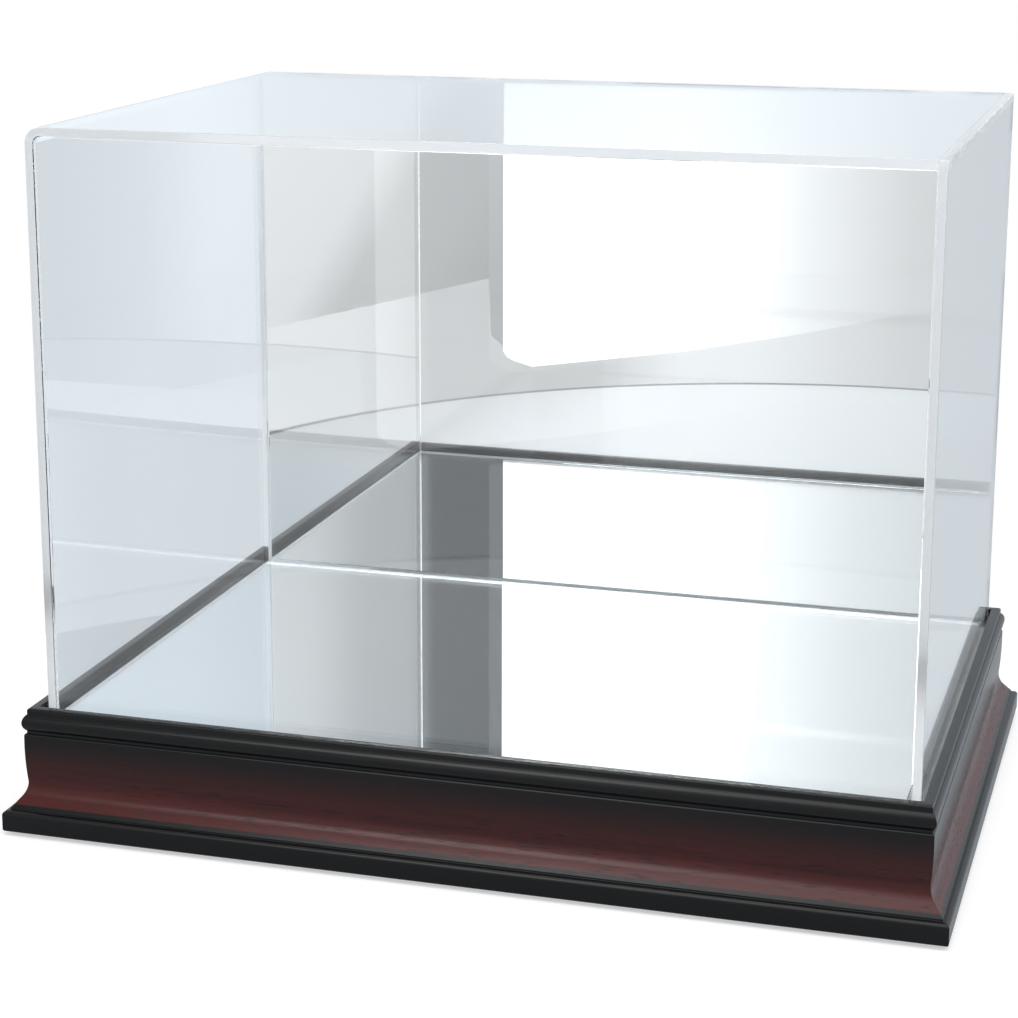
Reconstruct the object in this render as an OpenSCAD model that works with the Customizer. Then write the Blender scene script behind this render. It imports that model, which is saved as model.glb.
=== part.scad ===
// Ball display case: a lift-off clear cover with a mirrored back. It stands in the rebate of a
// mitred, moulded base that carries a mirrored floor.
// Millimetres, +Z up, the front faces -Y. The origin is on the resting plane, at the middle of
// the footprint.

/* [Clear cover] */
// Outside width of the cover
cover_w = 340; // [260:1:440]
// Outside depth of the cover
cover_d = 232; // [190:1:340]
// Height of the cover, from its lower edge to its top
cover_h = 233.8; // [180:0.1:320]
// Thickness of the clear sheet
sheet_t = 3.5; // [2:0.1:5]
// Inside radius of the heat bend at the left top edge
bend_r = 2.8; // [2:0.1:8]
// Thickness of the cemented joints of the cover
glue_gap = 0.1; // [0.05:0.01:0.3]
// Play between a centred cover and the inside of the rim, on each side
cover_play = 1.7; // [0.5:0.1:3]
// How far to the right of the middle the cover stands in its play
cover_shift = 0.9; // [0:0.1:1]

/* [Mirrors] */
// Thickness of the clear layer of each mirror
mirror_t = 3; // [1.8:0.1:4]
// Thickness of the silvering and its backing paint
silver_t = 0.2; // [0.1:0.05:0.5]
// Clearance of both mirrors inside the cover
mirror_gap = 0.7; // [0.4:0.1:1.2]
// Clearance of the floor mirror from the side walls of a centred cover
floor_side_gap = 1.3; // [1.2:0.1:3]
// Gap between the board and the lower edge of the back mirror
mirror_foot_gap = 0.4; // [0.3:0.1:2]
// Gap between the floor mirror's back edge and the back mirror
mirror_meet_gap = 0.4; // [0.3:0.1:2]

/* [Mounting tape] */
// Thickness of the double-sided tape behind the back mirror
tape_t = 0.8; // [0.4:0.1:1.6]
// Thickness of the double-sided tape under the floor mirror
floor_tape_t = 1; // [0.4:0.1:1.6]
// Width of each strip of tape
tape_w = 19; // [9:1:25]
// Length of each strip of tape
tape_len = 60; // [30:1:80]
// Distance of the strips' outer ends from the mirrors' side edges
tape_side = 20; // [5:1:30]
// Distance of the strips from the mirrors' front, back, lower and upper edges
tape_edge = 15; // [5:1:25]

/* [Base moulding: plinth and cove] */
// Wood inside the rim's inner face, which carries the board
stock_in = 9.6; // [7:0.1:16]
// Height of the plinth
plinth_h = 8.5; // [6:0.1:12]
// Reach of the plinth beyond the shoulder
plinth_ledge = 2.6; // [2.2:0.1:5]
// Radius of the plinth's upper edge
plinth_top_r = 1.8; // [0.5:0.1:2]
// Radius of the plinth's lower edge
plinth_foot_r = 1.1; // [0.4:0.1:2]
// Height of the step from the plinth up to the shoulder
shoulder_step = 0.75; // [0.3:0.05:1.5]
// Width of the straight slope above the shoulder
shoulder_run = 3.3; // [1.5:0.1:5]
// Radius of the cove
cove_r = 9; // [6:0.1:14]
// Angle that the cove turns through
cove_turn = 40.5; // [30:0.5:60]

/* [Base moulding: face, bead and rim] */
// Height of the face, from the neck to its top edge
face_h = 19.9; // [16:0.1:30]
// Reach of the face outside the rim's inner face, at its crown
face_out = 5.15; // [4.8:0.05:7]
// Radius of the face's slow crown
face_r = 150; // [120:5:300]
// Height of the crown above the neck
face_crown = 15; // [10:0.5:16]
// Radius of the face's top edge
face_top_r = 0.9; // [0.4:0.1:1.2]
// Height of the groove between the face and the bead
quirk_h = 1.05; // [0.5:0.05:2]
// Reach of that groove
quirk_out = 4.2; // [3.4:0.1:4.6]
// Reach of the bead
bead_out = 5.75; // [5.2:0.05:6.5]
// Radius of the bead's rounding
bead_r = 4.2; // [3.2:0.1:5]
// Width of the ledge between the bead and the rim
rim_ledge = 0.3; // [0.1:0.05:0.6]
// Reach of the rim
rim_out = 4; // [3.4:0.1:4.4]
// Height of the rim above its ledge
rim_h = 2.6; // [1.8:0.1:5]
// Radius of the rim's outer top edge
rim_round_r = 1; // [0.4:0.1:1.6]
// Radius of the rim's inner top edge
lip_round_r = 0.4; // [0.2:0.1:0.8]
// Height of the rim above the board
lip_h = 7.3; // [5:0.1:9]

/* [Base board] */
// Thickness of the board
board_t = 5; // [3:0.5:8]
// Gap round the board inside the rim
board_gap = 0.4; // [0.2:0.1:1]

/* [Fixings] */
// Length of each leg of a V-nail
v_nail_leg = 6; // [4:0.5:7]
// Thickness of a V-nail
v_nail_t = 0.6; // [0.4:0.1:1]
// Height of a V-nail
v_nail_h = 8; // [5:0.5:8.5]
// Distance of a corner's outer V-nail inside the plinth's face
v_nail_in = 5; // [5:0.5:7]
// Distance between the two V-nails of a corner
v_nail_pitch = 8; // [7:0.5:9]
// Diameter of a board pin's shank
pin_d = 1.4; // [1:0.1:1.8]
// Diameter of a board pin's head
pin_head_d = 2.6; // [2.2:0.1:3.2]
// Thickness of a board pin's head
pin_head_t = 0.8; // [0.5:0.1:1.2]
// Length of a board pin
pin_len = 16; // [10:1:24]
// Play round a board pin
pin_play = 0.05; // [0.02:0.01:0.1]
// Distance of the outer board pins from the board's corners
pin_end = 34; // [20:1:60]

/* [Felt pads] */
// Diameter of a felt pad
pad_d = 14; // [8:1:17]
// Thickness of a felt pad
pad_t = 1.5; // [1:0.1:3]
// Distance of the pads' middles from the ends of the base
pad_end = 34; // [32:1:60]

/* [Hidden] */
$fn = 72;
arc_step = 9; // degrees between the points of a moulded curve
past = 1;     // how far a cutting tool runs past what it cuts

// Moulding: where its curves start and end. Reaches are measured outwards from the rim's inner
// face, and heights up from the moulding's foot.
neck_out = face_out - face_r + sqrt(face_r * face_r - face_crown * face_crown);
cove_end_out = neck_out + cove_r * (1 - cos(cove_turn));
shoulder_out = cove_end_out + shoulder_run;
plinth_out = shoulder_out + plinth_ledge;
shoulder_z = plinth_h + shoulder_step;
neck_z = shoulder_z + shoulder_run / tan(cove_turn) + cove_r * sin(cove_turn);
face_top_z = neck_z + face_h;
bead_mid = bead_out - bead_r;
bead_low = acos((quirk_out - bead_mid) / bead_r);
bead_high = acos((rim_out + rim_ledge - bead_mid) / bead_r);
bead_z = face_top_z + quirk_h + bead_r * sin(bead_low);
rim_foot_z = bead_z + bead_r * sin(bead_high);
rail_h = rim_foot_z + rim_h;
rail_w = plinth_out + stock_in;

// Plan, as half sizes: the rim's inner face, and the outside of the base
rim_x = cover_w / 2 + cover_play;
rim_y = cover_d / 2 + cover_play;
base_x = rim_x + plinth_out;
base_y = rim_y + plinth_out;

// Heights above the resting plane
rail_z = pad_t;
board_z = rail_z + rail_h - lip_h;
ledge_z = board_z - board_t;
floor_silver_z = board_z + floor_tape_t;
floor_sheet_z = floor_silver_z + silver_t;
back_foot_z = board_z + mirror_foot_gap;
cover_top_z = board_z + cover_h;

// Inside of the cover, and the back mirror's layers from the back forwards
inner_x = cover_w / 2 - sheet_t;
inner_y = cover_d / 2 - sheet_t;
inner_top_z = cover_top_z - sheet_t;
back_silver_y = inner_y - tape_t;
back_sheet_y = back_silver_y - silver_t;
mirror_x = inner_x - mirror_gap;
mirror_top_z = inner_top_z - mirror_gap;

// Edges of the floor mirror, which ends in front of the back mirror
floor_x = inner_x - floor_side_gap;
floor_front_y = mirror_gap - inner_y;
floor_back_y = back_sheet_y - mirror_t - mirror_meet_gap;

clear = [0.86, 0.92, 0.96, 0.35];
silvered = [0.80, 0.83, 0.86];
lacquer = [0.20, 0.08, 0.08];
steel = [0.62, 0.63, 0.65];
tape_white = [0.93, 0.93, 0.90];

// Reach of the crowned face at a height above the moulding's foot
function face_reach(z) =
    let (above = z - neck_z - face_crown)
    face_out - face_r + sqrt(face_r * face_r - above * above);

// Points of an arc about c, from angle a to angle b
function arc(c, r, a, b) =
    let (steps = ceil(abs(b - a) / arc_step))
    [for (i = [0:steps])
        let (t = a + (b - a) * i / steps)
        c + r * [cos(t), sin(t)]];

// Points of the crowned face between the neck and its rounded top edge
function face_points() =
    let (rise = face_h - face_top_r, steps = 6)
    [for (i = [1:steps - 1])
        let (z = neck_z + rise * i / steps)
        [face_reach(z), z]];

// ---- Base ----

// Section of the moulding, with its reach along X and its height along Y
module rail_section() {
    face_edge_z = face_top_z - face_top_r;
    foot_r = plinth_foot_r;
    top_r = plinth_top_r;
    polygon(concat(
        [[-stock_in, 0]],
        arc([plinth_out - foot_r, foot_r], foot_r, -90, 0),
        arc([plinth_out - top_r, plinth_h - top_r], top_r, 0, 90),
        [[shoulder_out, plinth_h], [shoulder_out, shoulder_z]],
        arc([neck_out + cove_r, neck_z], cove_r, 180 + cove_turn, 180),
        face_points(),
        arc([face_reach(face_edge_z) - face_top_r, face_edge_z], face_top_r, 0, 90),
        arc([bead_mid, bead_z], bead_r, -bead_low, bead_high),
        [[rim_out, rim_foot_z]],
        arc([rim_out - rim_round_r, rail_h - rim_round_r], rim_round_r, 0, 90),
        arc([lip_round_r, rail_h - lip_round_r], lip_round_r, 90, 180),
        [[0, ledge_z - rail_z], [-stock_in, ledge_z - rail_z]]
    ));
}

// A mitred rail along X that faces -Y. half_len is half its length outside, and rim_off the
// distance of the rim's inner face from the middle of the base
module mitred_rail(half_len, rim_off) {
    long = half_len + past;
    short = half_len - rail_w - past;
    intersection() {
        translate([half_len, -rim_off, rail_z])
            rotate([90, 0, -90])
                linear_extrude(2 * half_len)
                    rail_section();
        translate([0, -rim_off, rail_z - past])
            linear_extrude(rail_h + 2 * past)
                polygon([[-long, -plinth_out - past], [long, -plinth_out - past],
                         [short, stock_in + past], [-short, stock_in + past]]);
    }
}

// Repeats its children at the four corners of the base, mirrored to suit each
module at_corners() {
    for (sx = [0, 1], sy = [0, 1])
        mirror([sx, 0, 0])
            mirror([0, sy, 0])
                children();
}

// The two V-nails of the back right corner, driven up from the moulding's foot across the mitre
module corner_pair() {
    for (i = [0, 1]) {
        inside = v_nail_in + i * v_nail_pitch;
        translate([base_x - inside, base_y - inside, rail_z])
            linear_extrude(v_nail_h)
                polygon([[0, 0], [-v_nail_leg, 0], [-v_nail_leg, -v_nail_t],
                         [-v_nail_t, -v_nail_t], [-v_nail_t, -v_nail_leg], [0, -v_nail_leg]]);
    }
}

// Repeats its children where the board is pinned to the moulding's ledge
module at_pins() {
    line_x = rim_x - stock_in / 2;
    line_y = rim_y - stock_in / 2;
    for (sx = [-1, 1]) {
        for (sy = [-1, 0, 1])
            translate([sx * line_x, sy * (line_y - pin_end), 0])
                children();
    }
    for (sx = [-1, 0, 1], sy = [-1, 1])
        translate([sx * (line_x - pin_end), sy * line_y, 0])
            children();
}

// One pin, or with play the hole for it, with its head flush with the board
module pin(play = 0) {
    translate([0, 0, board_z - pin_len - play])
        cylinder(h = pin_len + play, d = pin_d + 2 * play);
    translate([0, 0, board_z - pin_head_t - play])
        cylinder(h = pin_head_t + play, d = pin_head_d + 2 * play);
}

// A rail with the slots of the V-nails and the holes of the board pins
module fitted_rail(half_len, rim_off, turn) {
    color(lacquer)
        difference() {
            rotate([0, 0, turn])
                mitred_rail(half_len, rim_off);
            at_corners()
                corner_pair();
            at_pins()
                pin(pin_play);
        }
}

module front_rail() {
    fitted_rail(base_x, rim_y, 0);
}

module back_rail() {
    fitted_rail(base_x, rim_y, 180);
}

module left_rail() {
    fitted_rail(base_y, rim_x, -90);
}

module right_rail() {
    fitted_rail(base_y, rim_x, 90);
}

module corner_v_nails() {
    color(steel)
        at_corners()
            corner_pair();
}

// Board that closes the base and carries the floor mirror and the cover
module base_board() {
    half_x = rim_x - board_gap;
    half_y = rim_y - board_gap;
    color([0.62, 0.48, 0.34])
        difference() {
            translate([-half_x, -half_y, ledge_z])
                cube([2 * half_x, 2 * half_y, board_t]);
            at_pins()
                pin(pin_play);
        }
}

module board_pins() {
    color(steel)
        at_pins()
            pin();
}

module felt_pads() {
    color([0.13, 0.13, 0.14])
        for (sx = [-1, 1], sy = [-1, 1])
            translate([sx * (base_x - pad_end), sy * (base_y - rail_w / 2), 0])
                cylinder(h = pad_t, d = pad_d);
}

// ---- Mirrored floor ----

// A layer of the floor mirror, from the height z up
module floor_layer(z, t) {
    translate([-floor_x, floor_front_y, z])
        cube([2 * floor_x, floor_back_y - floor_front_y, t]);
}

module floor_mirror_tapes() {
    mid_x = floor_x - tape_side - tape_len / 2;
    front_y = floor_front_y + tape_edge;
    back_y = floor_back_y - tape_edge - tape_w;
    color(tape_white)
        for (side = [-1, 1], y = [front_y, back_y])
            translate([side * mid_x - tape_len / 2, y, board_z])
                cube([tape_len, tape_w, floor_tape_t]);
}

module floor_mirror_silvering() {
    color(silvered)
        floor_layer(floor_silver_z, silver_t);
}

module floor_mirror_sheet() {
    color(clear)
        floor_layer(floor_sheet_z, mirror_t);
}

// ---- Clear cover, with its mirrored back ----

// Upright outline from left to right and from foot to top, with its top left corner rounded
module one_bend(left, right, foot, top, r) {
    translate([left, foot])
        square([right - left, top - r - foot]);
    translate([left + r, foot])
        square([right - left - r, top - foot]);
    translate([left + r, top - r])
        circle(r);
}

// Stands flat children of the cover upright, from y back to y + t
module upright(y, t) {
    translate([cover_shift, y + t, 0])
        rotate([90, 0, 0])
            linear_extrude(t)
                children();
}

// Left wall and top: one sheet, heat bent at the left top edge
module cover_wrap() {
    color(clear)
        upright(-cover_d / 2, cover_d)
            difference() {
                one_bend(-cover_w / 2, inner_x - glue_gap, board_z, cover_top_z, bend_r + sheet_t);
                one_bend(-inner_x, inner_x + past, board_z - past, inner_top_z, bend_r);
            }
}

// Right wall, as high as the cover: the top is cemented to its inner face
module cover_right_panel() {
    color(clear)
        translate([cover_shift + inner_x, -cover_d / 2, board_z])
            cube([sheet_t, cover_d, cover_h]);
}

// Outline of what stands inside the cover, with a gap all round
module inside_cover(gap, foot) {
    one_bend(gap - inner_x, inner_x - gap, foot, inner_top_z - gap, bend_r - gap);
}

module cover_front_panel() {
    color(clear)
        upright(-cover_d / 2, sheet_t)
            inside_cover(glue_gap, board_z);
}

module cover_back_panel() {
    color(clear)
        upright(inner_y, sheet_t)
            inside_cover(glue_gap, board_z);
}

module back_mirror_tapes() {
    mid_x = mirror_x - tape_side - tape_w / 2;
    low_z = back_foot_z + tape_edge;
    high_z = mirror_top_z - tape_edge - tape_len;
    color(tape_white)
        for (side = [-1, 1], z = [low_z, high_z])
            translate([cover_shift + side * mid_x - tape_w / 2, back_silver_y, z])
                cube([tape_w, tape_t, tape_len]);
}

module back_mirror_silvering() {
    color(silvered)
        upright(back_sheet_y, silver_t)
            inside_cover(mirror_gap, back_foot_z);
}

module back_mirror_sheet() {
    color(clear)
        upright(back_sheet_y - mirror_t, mirror_t)
            inside_cover(mirror_gap, back_foot_z);
}

front_rail();
back_rail();
left_rail();
right_rail();
corner_v_nails();
base_board();
board_pins();
felt_pads();
floor_mirror_tapes();
floor_mirror_silvering();
floor_mirror_sheet();
cover_wrap();
cover_right_panel();
cover_front_panel();
cover_back_panel();
back_mirror_tapes();
back_mirror_silvering();
back_mirror_sheet();
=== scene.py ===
"""Ball display case: a clear lift-off cover with a mirrored back, on a moulded base with a mirrored floor.

Everything is in metres. The origin is on the resting plane in the middle of the footprint, +X runs
along the case's long side, the clear front faces -Y and the cover lifts along +Z.
"""

import logging
import math
from dataclasses import dataclass, field
from enum import Enum
from typing import Callable, Iterable, Optional, Sequence, Union

import bpy
from bpy.types import ColorRamp, Material, Mesh, NodeSocket, NodeTree, Object, World
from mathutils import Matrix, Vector


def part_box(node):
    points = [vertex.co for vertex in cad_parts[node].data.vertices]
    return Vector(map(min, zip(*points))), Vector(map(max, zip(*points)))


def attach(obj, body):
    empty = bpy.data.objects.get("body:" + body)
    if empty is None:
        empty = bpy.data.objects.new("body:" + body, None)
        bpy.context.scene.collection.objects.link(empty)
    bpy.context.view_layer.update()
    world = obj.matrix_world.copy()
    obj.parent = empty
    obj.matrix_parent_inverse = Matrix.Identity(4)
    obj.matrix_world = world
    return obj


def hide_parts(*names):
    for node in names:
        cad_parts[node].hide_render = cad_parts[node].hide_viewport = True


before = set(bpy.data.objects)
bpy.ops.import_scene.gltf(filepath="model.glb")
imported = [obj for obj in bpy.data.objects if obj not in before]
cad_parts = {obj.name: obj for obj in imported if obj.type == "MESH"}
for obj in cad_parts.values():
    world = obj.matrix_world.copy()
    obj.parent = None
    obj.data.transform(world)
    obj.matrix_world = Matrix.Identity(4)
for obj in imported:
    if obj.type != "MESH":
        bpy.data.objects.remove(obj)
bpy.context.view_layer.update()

MM = 0.001
LOG = logging.getLogger("display_case")

Point = tuple[float, float]
Colour = tuple[float, float, float]
Ring = Sequence[Vector]
Rim = Callable[[float], list[Vector]]
Term = Union["Value", int, float]
Feed = Union["Value", int, float, Sequence[float]]
Inputs = dict[Union[str, int], Feed]

UP = (0.0, 0.0, 1.0)
WHITE = (1.0, 1.0, 1.0, 1.0)
BLACK = (0.0, 0.0, 0.0, 1.0)

# The Mix node's two colour sockets, by number, since its other sockets share their names.
FIRST_COLOUR = 6
SECOND_COLOUR = 7


# Shader maths


class Value:
    """A shader socket that takes part in Python arithmetic by adding Math nodes."""

    def __init__(self, graph: "Graph", socket: NodeSocket) -> None:
        """Wraps an output socket of a graph."""
        self.graph = graph
        self.socket = socket

    def _math(self, operation: str, *operands: Term) -> "Value":
        """The result of a Math node with these operands, in order."""
        return self.graph.node("ShaderNodeMath", {"operation": operation}, dict(enumerate(operands)))

    def __add__(self, other: Term) -> "Value":
        """self + other."""
        return self._math("ADD", self, other)

    def __mul__(self, other: Term) -> "Value":
        """self * other."""
        return self._math("MULTIPLY", self, other)

    __radd__ = __add__
    __rmul__ = __mul__

    def __sub__(self, other: Term) -> "Value":
        """self - other."""
        return self._math("SUBTRACT", self, other)

    def __rsub__(self, other: Term) -> "Value":
        """other - self."""
        return self._math("SUBTRACT", other, self)

    def __gt__(self, other: Term) -> "Value":
        """1 where self is over other, and 0 elsewhere."""
        return self._math("GREATER_THAN", self, other)

    def either(self, other: Term) -> "Value":
        """The larger of self and other."""
        return self._math("MAXIMUM", self, other)

    def rise(self, low: Term, high: Term) -> "Value":
        """A smooth step, from 0 where self is low to 1 where it is high."""
        inputs = {"Value": self, "From Min": low, "From Max": high}
        return self.graph.node("ShaderNodeMapRange", {"interpolation_type": "SMOOTHSTEP"}, inputs)


class Graph:
    """Builds one node tree, from a material or the world."""

    def __init__(self, tree: NodeTree) -> None:
        """Empties the tree.

        Args:
            tree: the node tree to fill.
        """
        self.tree = tree
        tree.nodes.clear()
        self.coordinates: Optional[Value] = None

    def node(
        self,
        kind: str,
        settings: Optional[dict[str, object]] = None,
        inputs: Optional[Inputs] = None,
        output: Union[str, int] = 0,
    ) -> Value:
        """Adds a node.

        Args:
            kind: the node's type.
            settings: its properties. "stops" holds the (position, colour) pairs of a ramp.
            inputs: a value or a link for each named or numbered input.
            output: which output to return.

        Returns:
            The chosen output.
        """
        made = self.tree.nodes.new(kind)
        for name, setting in (settings or {}).items():
            if name == "stops":
                self._set_stops(made.color_ramp, setting)
            else:
                setattr(made, name, setting)
        for key, feed in (inputs or {}).items():
            if isinstance(feed, Value):
                self.tree.links.new(feed.socket, made.inputs[key])
            else:
                made.inputs[key].default_value = feed
        outputs = [o for o in made.outputs if o.enabled]
        chosen = outputs[output] if isinstance(output, int) else made.outputs[output]
        return Value(self, chosen)

    @staticmethod
    def _set_stops(ramp: ColorRamp, stops: Sequence[tuple[float, Colour]]) -> None:
        """Sets a ramp's stops.

        Args:
            ramp: the ramp.
            stops: (position, colour) pairs from low to high.
        """
        while len(ramp.elements) < len(stops):
            ramp.elements.new(1.0)
        for element, (position, colour) in zip(ramp.elements, stops):
            element.position = position
            element.color = (*colour, 1.0)

    def finish(self, surface: Value) -> None:
        """Links the surface shader to the output.

        Args:
            surface: the shader.
        """
        in_world = isinstance(self.tree.id_data, World)
        out = self.tree.nodes.new(f"ShaderNodeOutput{'World' if in_world else 'Material'}")
        self.tree.links.new(surface.socket, out.inputs["Surface"])

    def place(self) -> Value:
        """Gives the point's place in the piece's own frame, which is the model's frame at rest.

        Returns:
            The place.
        """
        if self.coordinates is None:
            self.coordinates = self.node("ShaderNodeTexCoord", output="Object")
        return self.coordinates

    def along(self, axis: str) -> Value:
        """The point's place along X, Y or Z."""
        return self.node("ShaderNodeSeparateXYZ", inputs={0: self.place()}, output=axis)

    def stretched(self, scale: Sequence[float]) -> Value:
        """The point's place, scaled along each axis."""
        inputs = {0: self.place(), 1: scale}
        return self.node("ShaderNodeVectorMath", {"operation": "MULTIPLY"}, inputs)

    def dot(self, first: Feed, second: Feed) -> Value:
        """The dot product of two vectors."""
        inputs = {0: first, 1: second}
        return self.node("ShaderNodeVectorMath", {"operation": "DOT_PRODUCT"}, inputs, "Value")

    def noise(self, scale: Union[float, Colour], detail: float, roughness: float = 0.5) -> Value:
        """Noise from 0 to 1.

        Args:
            scale: cycles per metre along every axis, or along each of the three.
            detail: the number of octaves.
            roughness: how strong the finer octaves are.

        Returns:
            The noise value.
        """
        cycles = scale if isinstance(scale, tuple) else (scale, scale, scale)
        inputs = {"Scale": 1.0, "Detail": detail, "Roughness": roughness}
        inputs["Vector"] = self.stretched(cycles)
        return self.node("ShaderNodeTexNoise", {"noise_dimensions": "3D"}, inputs, "Fac")

    def blend(self, share: Feed, first: Feed, second: Feed) -> Value:
        """Mixes two colours, the first where the share is 0 and the second where it is 1."""
        inputs = {"Factor": share, FIRST_COLOUR: as_colour(first), SECOND_COLOUR: as_colour(second)}
        return self.node("ShaderNodeMix", {"data_type": "RGBA"}, inputs)

    def bump(self, height: Value, distance: float, strength: float = 1.0) -> Value:
        """The normal bumped by a height, whose 1 stands for the distance in metres."""
        inputs = {"Height": height, "Distance": distance, "Strength": strength}
        return self.node("ShaderNodeBump", {}, inputs)

    def principled(self, colour: Feed, roughness: Feed, others: Optional[Inputs] = None) -> Value:
        """A Principled shader, with the inputs of its other sockets by name."""
        inputs = {"Base Color": as_colour(colour), "Roughness": roughness, **(others or {})}
        return self.node("ShaderNodeBsdfPrincipled", {}, inputs)

    def mix(self, share: Value, first: Value, second: Value) -> Value:
        """The first shader where the share is 0 and the second where it is 1."""
        return self.node("ShaderNodeMixShader", {}, {0: share, 1: first, 2: second})

    def emission(self, colour: Feed, strength: float) -> Value:
        """A shader that only glows."""
        return self.node("ShaderNodeEmission", {}, {0: colour, 1: strength})

    def facing(self, way: Sequence[float]) -> Value:
        """How far the surface faces a way, from -1 to 1."""
        return self.dot(self.node("ShaderNodeNewGeometry", output="True Normal"), way)

    def path(self, name: str) -> Value:
        """One of the Light Path node's outputs, such as "Is Shadow Ray"."""
        return self.node("ShaderNodeLightPath", output=name)

    def background_rays(self) -> Value:
        """1 for the rays that see the background: from the camera, gloss and clear sheet."""
        seen = self.path("Is Camera Ray").either(self.path("Is Glossy Ray"))
        return seen.either(self.path("Is Transmission Ray"))


def as_colour(feed: Feed) -> Feed:
    """Gives a plain colour its alpha, and leaves a link as it is."""
    return feed if isinstance(feed, Value) or len(feed) == 4 else (*feed, 1.0)


# Finishes


@dataclass(frozen=True)
class Finish:
    """A procedural finish, made into a material by make()."""

    name: str

    def make(self) -> Material:
        """Builds the finish's material.

        Returns:
            The material.
        """
        material = bpy.data.materials.new(self.name)
        material.use_nodes = True
        graph = Graph(material.node_tree)
        graph.finish(self.surface(graph))
        return material

    def surface(self, graph: Graph) -> Value:
        """The finish's shader."""
        raise NotImplementedError


class Grain(Enum):
    """Which way the wood's grain runs."""

    ALONG_X = 0
    ALONG_Y = 1

    def scale(self, along: float, across: float) -> Colour:
        """Noise cycles per metre on the three axes, from those along the grain and across it."""
        ways = ((along, across, across), (across, along, across))
        return ways[self.value]


@dataclass(frozen=True)
class Lacquer(Finish):
    """Satin lacquer on wood: black, a mahogany cove fading up the face, painted light low in the cove."""

    grain: Grain = Grain.ALONG_X
    red_foot: float = 12.1 * MM
    foot_blur: float = 0.35 * MM
    fade_start: float = 19.0 * MM
    fade_end: float = 41.0 * MM
    streak_reach: float = 5.0 * MM
    cloud_reach: float = 6.0 * MM
    black: Colour = (0.0034, 0.0038, 0.0044)
    # Painted light: a lighter red on the lower cove, which faces up to the light above.
    cove: Colour = (0.078, 0.0130, 0.0125)
    cove_light_share: float = 0.8
    cove_light_foot: float = 14.0 * MM
    cove_light_top: float = 21.0 * MM
    mahogany: Colour = (0.070, 0.0115, 0.0110)
    deep_mahogany: Colour = (0.036, 0.0075, 0.0070)
    pore_share: float = 0.75
    sheen: float = 0.24

    def surface(self, graph: Graph) -> Value:
        """Builds the finish's shader.

        Args:
            graph: the material's graph.

        Returns:
            The shader.
        """
        height = graph.along("Z")
        streaks = graph.noise(self.grain.scale(along=14.0, across=420.0), detail=3.0, roughness=0.6)
        clouds = graph.noise(self.grain.scale(along=7.0, across=60.0), detail=2.0)
        pores = graph.noise(self.grain.scale(along=130.0, across=1900.0), detail=2.0, roughness=0.55)
        peel = graph.noise(420.0, detail=2.0)

        ragged = (streaks - 0.5) * self.streak_reach + (clouds - 0.5) * self.cloud_reach
        over_foot = height.rise(self.red_foot - self.foot_blur, self.red_foot + self.foot_blur)
        faded = (height + ragged).rise(self.fade_start, self.fade_end)
        red = over_foot * (1.0 - faded)

        tone = (streaks * 0.6 + clouds * 0.4).rise(0.3, 0.68)
        wood = graph.blend(tone, self.deep_mahogany, self.mahogany)
        # Painted light: the lower cove is painted a lighter red, as though lit more from above.
        painted_cove_light = height.rise(self.cove_light_top, self.cove_light_foot) * self.cove_light_share
        wood = graph.blend(painted_cove_light, wood, self.cove)
        open_pores = pores.rise(0.585, 0.67) * red
        wood = graph.blend(open_pores * self.pore_share, wood, self.black)

        rough = self.sheen + (peel - 0.5) * 0.06 + open_pores * 0.12
        relief = peel * 0.35 - open_pores * 0.5 + streaks * 0.15
        normal = graph.bump(relief, distance=0.02 * MM, strength=0.6)
        others = {"IOR": 1.5, "Specular IOR Level": 0.22, "Normal": normal}
        return graph.principled(graph.blend(red, self.black, wood), rough, others)


@dataclass(frozen=True)
class ClearSheet(Finish):
    """Clear acrylic, polished, hazy like a cut edge, or frosted like a sawn one."""

    tint: Colour = (0.986, 0.995, 1.0)
    haze: float = 0.0
    frost: float = 0.0
    ior: float = 1.49
    shadow: Colour = (0.90, 0.93, 0.95)

    def surface(self, graph: Graph) -> Value:
        """Builds the finish's shader.

        Args:
            graph: the material's graph.

        Returns:
            The shader.
        """
        others = {"IOR": self.ior, "Transmission Weight": 1.0 - self.frost}
        sheet = graph.principled(self.tint, self.haze, others)
        clear = graph.node("ShaderNodeBsdfTransparent", {}, {0: as_colour(self.shadow)})
        return graph.mix(graph.path("Is Shadow Ray"), sheet, clear)


@dataclass(frozen=True)
class Cement(Finish):
    """A cemented face: the sheet looks whole through it, but for clusters of small bubbles."""

    bubble: Colour = (0.93, 0.95, 0.96)
    strength: float = 0.55

    def surface(self, graph: Graph) -> Value:
        """Builds the finish's shader.

        Args:
            graph: the material's graph.

        Returns:
            The shader.
        """
        beads = graph.noise((420.0, 900.0, 900.0), detail=2.0, roughness=0.6)
        clusters = graph.noise(30.0, detail=1.0)
        shown = (beads * 0.55 + clusters * 0.45).rise(0.50, 0.62) * self.strength
        return graph.principled(self.bubble, 0.35, {"Alpha": shown})


class MirrorSide(Enum):
    """The way that a mirror's silvered face looks."""

    TOP = UP
    FRONT = (0.0, -1.0, 0.0)


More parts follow.
